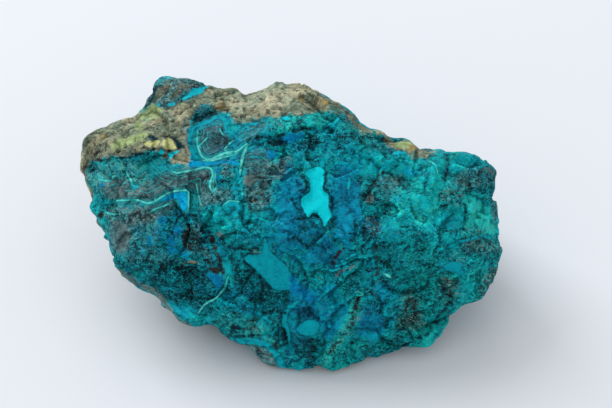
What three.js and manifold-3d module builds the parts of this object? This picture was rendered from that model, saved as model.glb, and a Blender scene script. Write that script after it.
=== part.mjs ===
// A chrysocolla specimen: one broken, hand-sized lump of copper-stained rock, with a showy face
// that leans back, a brown weathered crown above it and a rough underside with one flat resting face.
// Millimetres, +Z up. The origin is under the middle of the lump, on the surface that it rests on.
import * as THREE from 'three';
import { ImprovedNoise } from 'three/addons/math/ImprovedNoise.js';
import { mergeVertices } from 'three/addons/utils/BufferGeometryUtils.js';
import Module from 'manifold-3d';

// Driving dimensions
const SIGHT_ELEVATION = THREE.MathUtils.degToRad(50); // the showy face is squarely seen from this high up
const SIGHT_DISTANCE = 600; // and from this far away, where it has the outline below
const FOOT_CLEARANCE = 0.3; // height of the outline's lowest point above the resting surface
const FRONT_FACET = 1.4; // edge length of the facets on the showy face
const BACK_FACET = 2.3; // and on the sides and the underside
const RIM_DROP = 4.6; // how far the rim lies behind the showy face
const FOOT_DROP = 2.2; // the same along the foot, where the rim is thin
const FOOT_RANGE = [20, 28]; // how far below the face's middle the rim starts to thin, and where it is thin

// The outline as seen along the line of sight: distances right of and above the face's middle.
const OUTLINE = [
  [-41.8, 11.4], [-41.8, 15.0], [-41.4, 17.0], [-40.6, 18.2], [-37.6, 19.4], [-34.4, 20.8], [-30.8, 21.6],
  [-29.6, 22.8], [-28.2, 25.4], [-27.4, 28.0], [-26.2, 29.6], [-24.2, 30.0], [-23.0, 29.2], [-20.4, 29.2],
  [-17.4, 28.0], [-16.0, 27.2], [-14.4, 26.8], [-12.4, 27.2], [-10.4, 27.0], [-9.4, 26.0], [-6.8, 26.2],
  [-5.0, 26.8], [-3.2, 27.8], [2.6, 28.0], [4.2, 27.4], [6.0, 26.0], [10.6, 23.8], [11.8, 22.8],
  [15.0, 19.2], [18.2, 18.4], [21.4, 16.8], [23.2, 16.8], [25.0, 15.8], [27.8, 14.6], [30.6, 14.6],
  [32.6, 14.2], [34.8, 14.6], [37.2, 14.4], [40.0, 12.4], [41.6, 10.2], [41.2, 7.4], [41.0, 4.2],
  [42.0, -1.0], [42.4, -4.6], [42.2, -6.2], [41.6, -7.2], [41.8, -9.4], [41.0, -12.2], [39.0, -14.8],
  [37.6, -15.6], [35.4, -15.6], [33.2, -17.0], [31.0, -20.6], [29.4, -23.4], [26.6, -25.0], [24.0, -25.0],
  [22.4, -25.6], [21.2, -25.0], [15.6, -26.4], [12.2, -28.2], [7.4, -29.2], [5.2, -28.2], [1.2, -29.2],
  [-1.4, -28.6], [-4.8, -28.0], [-6.4, -26.8], [-8.4, -24.4], [-11.8, -23.0], [-14.6, -21.0], [-15.4, -19.6],
  [-17.6, -20.2], [-19.4, -20.6], [-21.8, -19.6], [-24.0, -17.0], [-26.2, -14.4], [-30.0, -12.6],
  [-33.2, -10.0], [-35.8, -8.0], [-36.2, -5.0], [-37.8, -1.0], [-39.0, 2.0], [-40.0, 4.4], [-39.6, 7.0],
  [-41.4, 8.2],
];

// Broken planes: each passes through a point (right, up, towards the eye) and leans by so much
// towards the eye for each millimetre to the right and each millimetre up.
const FACE_PLANES = [
  { name: 'upper middle', at: [0, 0, 5.2], right: 0, up: -0.3 },
  { name: 'lower middle', at: [0, -3, 5.6], right: 0.03, up: 0.36 },
  { name: 'banded lobe', at: [-16, 8, 4.0], right: 0.2, up: -0.1 },
  { name: 'dark lobe', at: [-16, -5, 4.4], right: 0.14, up: 0.48 },
  { name: 'right shoulder', at: [20, 5, 4.6], right: -0.16, up: -0.12 },
  { name: 'right flank', at: [20, -5, 4.4], right: -0.14, up: 0.42 },
  { name: 'weathered left crown', at: [-26, 16.2, 1.6], right: 0.2, up: -0.75 },
  { name: 'weathered middle crown', at: [2, 22, -0.8], right: 0, up: -0.9 },
  { name: 'right edge', at: [37, 0, 1.6], right: -0.8, up: 0.1 },
];
const BACK_PLANES = [
  { name: 'underside', at: [0, 0, -38], right: 0, up: -0.1 },
  { name: 'left underside', at: [-6, 0, -39], right: -0.7, up: -0.8 },
  { name: 'right underside', at: [10, 0, -40], right: 0.75, up: -0.8 },
  { name: 'rear', at: [0, 14, -37], right: 0.1, up: 0.8 },
  { name: 'rear left', at: [-20, 14, -31], right: -0.4, up: 0.5 },
];

// Relief on the showy face. A groove has a depth along its path, and a step lifts the side above its path.
const GROOVES = [
  {
    name: 'seam beside the banded lobe', depth: 0.9, width: 1.8,
    path: [[-18.6, 8], [-16.8, 2], [-15.2, -4], [-12.4, -10], [-14, -13.6], [-18.2, -17.6]],
  },
  {
    name: 'rippled break', depth: 1.4, width: 2.0,
    path: [[4, -9], [9, -8.2], [12.6, -6.2], [16, -2], [17.2, 1]],
  },
  { name: 'foot gully', depth: 1.3, width: 1.9, path: [[-1, -14], [-1.6, -19], [-0.4, -24], [1, -28]] },
  { name: 'flank gully', depth: 1.1, width: 1.9, path: [[20, -29], [22, -22], [24, -17], [24, -12]] },
  { name: 'shoulder gully', depth: 1.2, width: 1.9, path: [[32.4, 15], [32, 10], [34, 7], [40, 6]] },
];
const STEPS = [
  {
    name: 'ledge under the middle crown', height: 1.5,
    path: [[-10, 16], [-5.6, 17.2], [1.4, 19], [9, 20.4], [15, 20]],
  },
  {
    name: 'ledge under the left crown', height: 1.1,
    path: [[-43, 12.8], [-34, 13.8], [-29, 14.8], [-24, 15.6]],
  },
  { name: 'shelf over the dark lobe', height: 1.0, path: [[-38, -1], [-31, 1], [-26, -1], [-20, -2]] },
  { name: 'shelf over the right flank', height: 1.1, path: [[17, -0.5], [24, -3.5], [31, -4], [43, -3]] },
  { name: 'lip over the foot', height: 1.6, path: [[-16, -21.4], [-8, -23], [-4.5, -25], [-1, -29.5]] },
];
const HOLLOWS = [
  { name: 'under the lance-shaped patch', at: [-4.4, -13.4], radius: 5.6, depth: 1.8 },
  { name: 'ringed pocket', at: [2.6, -17.4], radius: 2.8, depth: 1.3 },
  { name: 'foot pocket', at: [3.0, -25.0], radius: 3.2, depth: 1.4 },
  { name: 'crumbled pocket', at: [-6.6, 6.0], radius: 3.6, depth: 1.1 },
  { name: 'pit under the horn', at: [-17.0, 22.2], radius: 3.4, depth: 1.8 },
  { name: 'dark lobe hollow', at: [-19.0, -10.5], radius: 5.5, depth: 1.5 },
  { name: 'shoulder pocket', at: [21.5, 9.0], radius: 4.0, depth: 1.2 },
  { name: 'flank pocket', at: [31.5, -13.0], radius: 4.2, depth: 1.3 },
  { name: 'edge pocket', at: [37.0, -3.6], radius: 3.2, depth: 0.9 },
];

// Roughness: each octave has the size of its lumps and their height, and chips are flat breaks.
const FRONT_LUMPS = [{ size: 12, height: 0.8 }, { size: 5.5, height: 0.6 }, { size: 2.8, height: 0.35 }];
const BACK_LUMPS = [{ size: 17, height: 1.8 }, { size: 8, height: 1.2 }, { size: 4.5, height: 0.9 }];
const FRONT_CHIPS = { cell: 7, lean: 0.24 };
const BACK_CHIPS = { cell: 11, lean: 0.62 };
const BACK_HEART = new THREE.Vector3(0, 2, -8); // the back's lumps and chips point away from here
const EDGE_SHARPNESS = { front: 9, back: 3.2 }; // a higher power makes a squarer shoulder at the rim
const EDGE_ROUNDING = { front: 0.62, back: 0.5 };
const SOFTENING = 0.04; // share of the girth, to each side, over which the outline's bumps are evened out
const SOFTENING_SAMPLES = 6;
const SOFTNESS = { front: 0.5, back: 1 }; // how much of that evening out there is at the middle of a half
const SOFTNESS_ONSET = 4; // a higher power brings it in closer to the rim
const STEP_REACH = 4.5; // how far above its path a step fades out
const STEP_EDGE = 0.9; // how wide its riser is
const RIM_CROWDING = 1.25; // a higher power sets the facets closer together at the rim
const FEWEST_FACETS = 6; // around the innermost ring
const SAME_POINT = 1e-4; // corners closer than this are one corner
const GROUND_SIDE = 400; // the block below the resting surface that cuts the underside flat
const GROUND_DEPTH = 100;

// Shape functions in sight coordinates: u to the right, v up, w towards the eye
const noise = new ImprovedNoise();

function lumps(u, v, w, octaves) {
  return octaves.reduce(
    (sum, { size, height }) => sum + height * noise.noise(u / size, v / size, w / size + size), 0);
}

// A repeatable number from 0 to 1 for one cell of a grid, from the last digits of a fast wave
const WAVE = { column: 127.1, row: 311.7, layer: 191.3, salt: 74.7, height: 43758.5453 };

function cellNumber(column, row, layer, salt) {
  const phase = column * WAVE.column + row * WAVE.row + layer * WAVE.layer + salt * WAVE.salt;
  const wave = Math.sin(phase) * WAVE.height;
  return wave - Math.floor(wave);
}

// One cell's plane: it leans its own way and turns up a little away from the cell's middle
function chipHeight(point, column, row, layer, { cell, lean }) {
  const number = (salt) => cellNumber(column, row, layer, salt);
  const seed = new THREE.Vector3(column + number(0), row + number(1), layer + number(2));
  const slope = new THREE.Vector3(number(3) - 0.5, number(4) - 0.5, number(5) - 0.5).setLength(lean);
  const away = seed.multiplyScalar(-cell).add(point);
  return away.dot(slope) + (away.lengthSq() * lean) / cell;
}

// Flat chips: the lowest of the planes of the nearby cells shows
function chips(u, v, w, size) {
  const point = new THREE.Vector3(u, v, w);
  const [column, row, layer] = point.toArray().map((x) => Math.floor(x / size.cell));
  let lowest = Infinity;
  for (let i = column - 1; i <= column + 1; i++) {
    for (let j = row - 1; j <= row + 1; j++) {
      for (let k = layer - 1; k <= layer + 1; k++) {
        lowest = Math.min(lowest, chipHeight(point, i, j, k, size));
      }
    }
  }
  return lowest;
}

// Where a point lies beside a path drawn from left to right: how far off, which side, and how far along
function besidePath(path, u, v) {
  let nearest = { distance: Infinity };
  for (let i = 0; i + 1 < path.length; i++) {
    const [u0, v0] = path[i];
    const du = path[i + 1][0] - u0;
    const dv = path[i + 1][1] - v0;
    const share = THREE.MathUtils.clamp(((u - u0) * du + (v - v0) * dv) / (du * du + dv * dv), 0, 1);
    const distance = Math.hypot(u - u0 - share * du, v - v0 - share * dv);
    const side = du * (v - v0) - dv * (u - u0) < 0 ? -1 : 1;
    if (distance < nearest.distance) {
      nearest = { distance, side, along: (i + share) / (path.length - 1) };
    }
  }
  return nearest;
}

function grooveDepth({ path, depth, width }, u, v) {
  const { distance } = besidePath(path, u, v);
  return depth * Math.exp(-((distance / width) ** 2));
}

function stepHeight({ path, height }, u, v) {
  const { distance, side, along } = besidePath(path, u, v);
  const riser = THREE.MathUtils.smoothstep(distance * side, -STEP_EDGE, STEP_EDGE);
  return height * riser * Math.sqrt(Math.sin(Math.PI * along)) * Math.max(0, 1 - distance / STEP_REACH);
}

function hollowDepth({ at, radius, depth }, u, v) {
  const share = Math.hypot(u - at[0], v - at[1]) / radius;
  return depth * Math.max(0, 1 - share * share) ** 2;
}

function planeDepth({ at, right, up }, u, v) {
  return at[2] + right * (u - at[0]) + up * (v - at[1]);
}

function facePlaneDepth(u, v) {
  return Math.min(...FACE_PLANES.map((plane) => planeDepth(plane, u, v)));
}

function faceRelief(u, v) {
  const cut = GROOVES.reduce((sum, groove) => sum + grooveDepth(groove, u, v), 0);
  const sunk = HOLLOWS.reduce((sum, hollow) => sum + hollowDepth(hollow, u, v), 0);
  const raised = STEPS.reduce((sum, step) => sum + stepHeight(step, u, v), 0);
  return raised - cut - sunk + lumps(u, v, 0, FRONT_LUMPS) + chips(u, v, 0, FRONT_CHIPS);
}

// The rim follows the broken planes at a distance, and thins out towards the foot
function rimDepth(u, v) {
  const footShare = THREE.MathUtils.smoothstep(-v, ...FOOT_RANGE);
  return facePlaneDepth(u, v) - THREE.MathUtils.lerp(RIM_DROP, FOOT_DROP, footShare);
}

// A point of the front, share of the way from the middle to the rim
function frontPoint(edge, share) {
  const [u, v] = [edge.x * share, edge.y * share];
  const rim = rimDepth(edge.x, edge.y);
  const fullness = (1 - share ** EDGE_SHARPNESS.front) ** EDGE_ROUNDING.front;
  return { u, v, w: rim + (facePlaneDepth(u, v) + faceRelief(u, v) - rim) * fullness };
}

// A point of the back: its roughness grows away from the rim, so that the outline stays as it is
function backPoint(edge, share) {
  const [u, v] = [edge.x * share, edge.y * share];
  const rim = rimDepth(edge.x, edge.y);
  const hull = Math.max(...BACK_PLANES.map((plane) => planeDepth(plane, u, v)));
  const fullness = (1 - share ** EDGE_SHARPNESS.back) ** EDGE_ROUNDING.back;
  const point = new THREE.Vector3(u, v, rim + (hull - rim) * fullness);
  const roughness = lumps(...point, BACK_LUMPS) + chips(...point, BACK_CHIPS);
  const outward = point.clone().sub(BACK_HEART).setLength(roughness * fullness);
  point.add(outward);
  return { u: point.x, v: point.y, w: point.z };
}

// Surface mesh: closed rings that shrink from the rim to the middle, on the front and on the back
const outline = new THREE.Path(OUTLINE.map(([u, v]) => new THREE.Vector2(u, v))).closePath();
const girth = outline.getLength();

function rimRing() {
  const ring = [];
  let travelled = 0;
  for (const side of outline.curves) {
    const length = side.getLength();
    const pieces = Math.max(1, Math.round(length / FRONT_FACET));
    for (let i = 0; i < pieces; i++) {
      const point = side.getPointAt(i / pieces);
      const along = (travelled + (length * i) / pieces) / girth;
      ring.push({ along, u: point.x, v: point.y, w: rimDepth(point.x, point.y) });
    }
    travelled += length;
  }
  return ring;
}

// The outline with its bumps evened out
function softEdge(along) {
  const sum = new THREE.Vector2();
  for (let i = 0; i < SOFTENING_SAMPLES; i++) {
    const offset = SOFTENING * ((2 * i) / (SOFTENING_SAMPLES - 1) - 1);
    sum.add(outline.getPoint((along + offset + 1) % 1));
  }
  return sum.divideScalar(SOFTENING_SAMPLES);
}

function innerRing(share, facet, pointAt, softness) {
  const count = Math.max(FEWEST_FACETS, Math.round((girth * share) / facet));
  return Array.from({ length: count }, (_, i) => {
    const along = i / count;
    const edge = outline.getPoint(along).lerp(softEdge(along), softness);
    return { along, ...pointAt(edge, share) };
  });
}

// Triangles between two neighbouring rings, whatever their counts
function stitch(outer, inner, addTriangle) {
  let a = 0;
  let b = 0;
  const alongOf = (ring, i) => (i < ring.length ? ring[i].along : 1);
  while (a < outer.length || b < inner.length) {
    const outerNext = a < outer.length ? alongOf(outer, a + 1) : Infinity;
    const innerNext = b < inner.length ? alongOf(inner, b + 1) : Infinity;
    const here = [outer[a % outer.length], inner[b % inner.length]];
    if (outerNext <= innerNext) {
      addTriangle(here[0], here[1], outer[(a + 1) % outer.length]);
      a++;
    } else {
      addTriangle(here[0], here[1], inner[(b + 1) % inner.length]);
      b++;
    }
  }
}

// A half of the lump: its rings crowd towards the rim, where the surface is steep
function addHalf(rim, { facet, pointAt, softness }, addTriangle) {
  const ringCount = Math.round(girth / (2 * Math.PI * facet));
  let outer = rim;
  for (let i = 1; i < ringCount; i++) {
    const share = 1 - (i / ringCount) ** RIM_CROWDING;
    const inner = innerRing(share, facet, pointAt, softness * (1 - share ** SOFTNESS_ONSET));
    stitch(outer, inner, addTriangle);
    outer = inner;
  }
  const middle = pointAt(new THREE.Vector2(), 0);
  outer.forEach((point, i) => addTriangle(point, middle, outer[(i + 1) % outer.length]));
}

const FRONT = { facet: FRONT_FACET, pointAt: frontPoint, softness: SOFTNESS.front };
const BACK = { facet: BACK_FACET, pointAt: backPoint, softness: SOFTNESS.back };

// From sight coordinates to the lump's own frame, still at the height of the face's middle
function placed({ u, v, w }) {
  const nearness = (SIGHT_DISTANCE - w) / SIGHT_DISTANCE;
  const [sine, cosine] = [Math.sin(SIGHT_ELEVATION), Math.cos(SIGHT_ELEVATION)];
  return [u * nearness, v * nearness * sine - w * cosine, v * nearness * cosine + w * sine];
}

function lumpGeometry() {
  const rim = rimRing();
  const corners = [];
  addHalf(rim, FRONT, (a, b, c) => corners.push(...placed(a), ...placed(b), ...placed(c)));
  addHalf(rim, BACK, (a, b, c) => corners.push(...placed(a), ...placed(c), ...placed(b)));
  const lowest = Math.min(...rim.map((point) => placed(point)[2]));
  const geometry = new THREE.BufferGeometry();
  geometry.setAttribute('position', new THREE.Float32BufferAttribute(corners, 3));
  return geometry.translate(0, 0, FOOT_CLEARANCE - lowest);
}

// The flat resting face: everything below the resting surface is cut away
const wasm = await Module();
wasm.setup();

function solidOf(geometry) {
  geometry.deleteAttribute('normal');
  geometry.deleteAttribute('uv');
  const merged = mergeVertices(geometry, SAME_POINT);
  const vertProperties = merged.attributes.position.array;
  const triVerts = new Uint32Array(merged.index.array);
  return new wasm.Manifold(new wasm.Mesh({ numProp: 3, vertProperties, triVerts }));
}

function geometryOf(solid) {
  const { vertProperties, triVerts } = solid.getMesh();
  const geometry = new THREE.BufferGeometry();
  geometry.setAttribute('position', new THREE.BufferAttribute(vertProperties, 3));
  geometry.setIndex(new THREE.BufferAttribute(triVerts, 1));
  return geometry;
}

const ground = new THREE.BoxGeometry(GROUND_SIDE, GROUND_SIDE, GROUND_DEPTH);
ground.translate(0, 0, -GROUND_DEPTH / 2);
const restingGeometry = geometryOf(solidOf(lumpGeometry()).subtract(solidOf(ground)));

// The origin goes under the middle of the lump
restingGeometry.computeBoundingBox();
const middle = restingGeometry.boundingBox.getCenter(new THREE.Vector3());
restingGeometry.translate(-middle.x, -middle.y, 0);
restingGeometry.computeVertexNormals();

const stone = new THREE.MeshStandardMaterial({ color: 0x146b72, roughness: 0.62, metalness: 0 });
const rock = new THREE.Mesh(restingGeometry, stone);
rock.name = 'chrysocolla_rock';

const specimen = new THREE.Group();
specimen.add(rock);

export default specimen;
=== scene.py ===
# The looks of a chrysocolla specimen: one broken lump of copper-stained rock. The lump gets a fine
# broken surface, and its veins, bands, patches and crusts are drawn on the showy face and grown on the
# other sides.
import math
from collections import namedtuple

import bmesh
import bpy
import numpy as np
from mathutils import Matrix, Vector, noise
from mathutils.kdtree import KDTree


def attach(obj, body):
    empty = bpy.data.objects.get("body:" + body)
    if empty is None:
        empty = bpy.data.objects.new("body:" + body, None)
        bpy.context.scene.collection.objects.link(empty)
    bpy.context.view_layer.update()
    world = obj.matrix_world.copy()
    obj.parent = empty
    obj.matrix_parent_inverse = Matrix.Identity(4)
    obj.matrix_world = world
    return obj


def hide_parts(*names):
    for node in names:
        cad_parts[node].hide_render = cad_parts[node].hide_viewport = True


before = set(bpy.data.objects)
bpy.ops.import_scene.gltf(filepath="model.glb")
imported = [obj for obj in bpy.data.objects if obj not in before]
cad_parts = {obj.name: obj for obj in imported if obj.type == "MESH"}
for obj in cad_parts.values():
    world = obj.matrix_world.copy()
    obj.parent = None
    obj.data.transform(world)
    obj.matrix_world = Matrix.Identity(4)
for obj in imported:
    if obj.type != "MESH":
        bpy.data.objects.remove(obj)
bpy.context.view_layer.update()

# How the showy face is seen. Drawn marks are given in pixels of the picture, right and down.
MM = 0.001
PICTURE_WIDTH, PICTURE_HEIGHT = 612, 408
PIXEL = 0.2 * MM  # what a pixel covers at the face's middle
FACE_PIXEL = (290, 225)
FACE_MIDDLE = Vector((-0.350, -9.400, 24.657)) * MM
SIGHT_ELEVATION = math.radians(50)
SIGHT_DISTANCE = 600 * MM
SENSOR = 36
RIGHT = Vector((1, 0, 0))
UP = Vector((0, math.sin(SIGHT_ELEVATION), math.cos(SIGHT_ELEVATION)))
TOWARDS = Vector((0, -math.cos(SIGHT_ELEVATION), math.sin(SIGHT_ELEVATION)))
EYE = FACE_MIDDLE + SIGHT_DISTANCE * TOWARDS

# Pigments from the lowest coat to the highest: three colours from dark to pale, as seen on a screen,
# then how many pixels wide the edge is and how far it frays.
Pigment = namedtuple("Pigment", "dark middle pale softness fray")
UNDERCOATS = {
    "crust": Pigment((72, 75, 59), (136, 136, 110), (184, 181, 153), 2.2, 4.0),
    "olive": Pigment((104, 122, 82), (142, 162, 110), (172, 188, 140), 3.0, 3.0),
    "cream": Pigment((150, 158, 102), (182, 186, 124), (204, 204, 148), 0.6, 0.6),
    "ash": Pigment((66, 88, 88), (100, 124, 122), (142, 162, 154), 1.5, 3.0),
}
TOPCOATS = {
    "pool": Pigment((0, 128, 146), (0, 156, 172), (6, 178, 190), 0.8, 1.6),
    "azure": Pigment((0, 84, 118), (0, 122, 166), (0, 154, 206), 1.2, 3.5),
    "ribbon": Pigment((0, 128, 172), (0, 150, 198), (0, 170, 214), 0.7, 1.0),
    "window": Pigment((0, 180, 196), (0, 200, 212), (10, 214, 222), 0.6, 0.8),
    "rust": Pigment((10, 26, 30), (34, 40, 42), (72, 62, 58), 1.4, 3.5),
    "black": Pigment((2, 22, 30), (3, 42, 52), (5, 66, 76), 2.0, 3.5),
    "vein": Pigment((40, 172, 166), (90, 204, 194), (134, 224, 212), 0.5, 0.6),
    "ochre": Pigment((112, 96, 56), (146, 124, 74), (168, 152, 100), 1.4, 2.5),
}
PIGMENTS = {**UNDERCOATS, **TOPCOATS}
# The stone's own colours from darkest to palest
TEALS = [(0, 24, 32), (0, 74, 86), (0, 126, 138), (0, 162, 170), (10, 194, 198)]
GREENS = [(0, 26, 30), (0, 76, 80), (0, 126, 126), (4, 160, 154), (44, 194, 182)]
BLUES = [(0, 22, 38), (0, 66, 94), (0, 116, 150), (0, 148, 182), (0, 174, 208)]
GREYS = [(18, 28, 31), (50, 70, 75), (84, 110, 113), (116, 142, 141), (158, 176, 169)]
LICHENS = [(48, 60, 53), (98, 112, 95), (154, 162, 138)]  # greener weathered crust

OVAL_POINTS = 8


def oval(x, y, across, down, lean=0):
    """An outline round a pixel: half its width and height, turned clockwise by some degrees."""
    turn = math.radians(lean)
    points = []
    for step in range(OVAL_POINTS):
        angle = 2 * math.pi * step / OVAL_POINTS
        u, v = across * math.cos(angle), down * math.sin(angle)
        points.append((x + u * math.cos(turn) - v * math.sin(turn),
                       y + u * math.sin(turn) + v * math.cos(turn)))
    return points


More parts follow.
